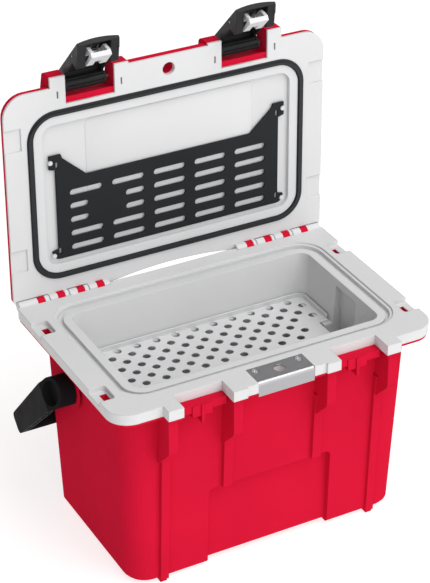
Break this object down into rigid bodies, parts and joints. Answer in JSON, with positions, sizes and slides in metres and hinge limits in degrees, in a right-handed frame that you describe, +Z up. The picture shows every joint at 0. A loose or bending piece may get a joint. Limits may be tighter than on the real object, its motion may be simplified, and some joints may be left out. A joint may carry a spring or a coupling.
{
  "type": "personal cooler",
  "caption": "Hard-sided insulated cooler with hinged lid, press-and-pull latches, swinging bail handle, lift-out dry tray and snap-in lid rack.",
  "frame": {"origin": "centre of the cooler's footprint box on the floor, lid open", "axes": "+Z up, +X to the right as seen from the latch side, +Y towards the hinge side"},
  "size_m": [0.454, 0.341, 0.6173],
  "materials": {
    "red_plastic": "satin",
    "white_plastic": "satin",
    "foam": "matte",
    "black_plastic": "satin",
    "charcoal_plastic": "matte",
    "seal_rubber": "matte",
    "plate_steel": "satin",
    "pin_steel": "satin",
    "catch_plastic": "satin"
  },
  "bodies": {
    "body": {"body_shell": "red_plastic", "body_insulation": "foam", "body_liner": "white_plastic", "lock_plate": "plate_steel", "lock_plate_screws": "pin_steel", "hinge_pin_left": "pin_steel", "hinge_pin_right": "pin_steel", "handle_boss_left": "red_plastic", "handle_boss_right": "red_plastic", "handle_screw_left": "pin_steel", "handle_screw_right": "pin_steel", "handle_washer_left": "pin_steel", "handle_washer_right": "pin_steel"},
    "lid": {"lid_shell": "red_plastic", "lid_insulation": "foam", "lid_liner": "white_plastic", "lid_gasket": "seal_rubber", "rack_pegs": "white_plastic", "latch_pin_left": "pin_steel", "latch_pin_right": "pin_steel"},
    "rack": {"lid_rack": "charcoal_plastic"},
    "tray": {"dry_tray": "white_plastic"},
    "handle": {"handle_bail": "black_plastic", "handle_cap_left": "black_plastic", "handle_cap_right": "black_plastic"},
    "latch_left": {"latch_cover_left": "black_plastic", "catch_pin_left": "pin_steel", "catch_spring_left": "pin_steel"},
    "latch_right": {"latch_cover_right": "black_plastic", "catch_pin_right": "pin_steel", "catch_spring_right": "pin_steel"},
    "catch_left": {"catch_left": "catch_plastic"},
    "catch_right": {"catch_right": "catch_plastic"}
  },
  "joints": [
    {"name": "lid_hinge", "type": "hinge", "parent": "body", "child": "lid", "pos_m": [0, 0.12325, 0.2718], "axis": [1, 0, 0], "range_deg": [0, 90]},
    {"name": "rack_pull", "type": "slide", "parent": "lid", "child": "rack", "axis": [0, 1, 0], "range_m": [-0.045, 0]},
    {"name": "tray_lift", "type": "slide", "parent": "body", "child": "tray", "axis": [0, 0, -1], "range_m": [-0.1, 0]},
    {"name": "handle_swing", "type": "hinge", "parent": "body", "child": "handle", "pos_m": [0, 0.01095, 0.215], "axis": [1, 0, 0], "range_deg": [0, 56]},
    {"name": "latch_left_pull", "type": "hinge", "parent": "lid", "child": "latch_left", "pos_m": [-0.104, 0.14445, 0.5441], "axis": [1, 0, 0], "range_deg": [-35, 45]},
    {"name": "latch_right_pull", "type": "hinge", "parent": "lid", "child": "latch_right", "pos_m": [0.104, 0.14445, 0.5441], "axis": [1, 0, 0], "range_deg": [-35, 45]},
    {"name": "catch_left_press", "type": "hinge", "parent": "latch_left", "child": "catch_left", "pos_m": [-0.104, 0.11652, 0.59254], "axis": [-1, 0, 0], "range_deg": [0, 6], "stiffness_Nm_per_rad": 0.35},
    {"name": "catch_right_press", "type": "hinge", "parent": "latch_right", "child": "catch_right", "pos_m": [0.104, 0.11652, 0.59254], "axis": [-1, 0, 0], "range_deg": [0, 6], "stiffness_Nm_per_rad": 0.35}
  ]
}
